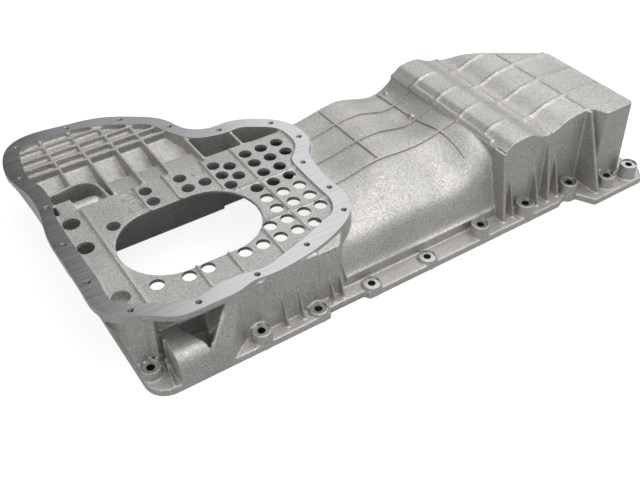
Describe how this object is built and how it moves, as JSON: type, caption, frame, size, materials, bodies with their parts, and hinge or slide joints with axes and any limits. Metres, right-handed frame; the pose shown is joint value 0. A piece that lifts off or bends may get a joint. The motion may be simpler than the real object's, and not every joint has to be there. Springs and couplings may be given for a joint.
{
  "type": "engine oil pan",
  "caption": "Cast upper oil pan for an engine: block flange, perforated tray with a pickup opening, sump ring face with tapped holes, lattice overhang and a ribbed reservoir box.",
  "frame": {"origin": "on the block face, on the centre line between the front and back rows of block bolts, halfway along the block flange", "axes": "+Z away from the engine block, +X along the crankshaft towards the reservoir box, +Y towards the lattice overhang"},
  "size_m": [0.683, 0.409, 0.1071],
  "materials": {
    "cast_aluminium": "blasted casting with machined faces"
  },
  "bodies": {
    "root": {"upper_oil_pan": "cast_aluminium"}
  },
  "joints": []
}
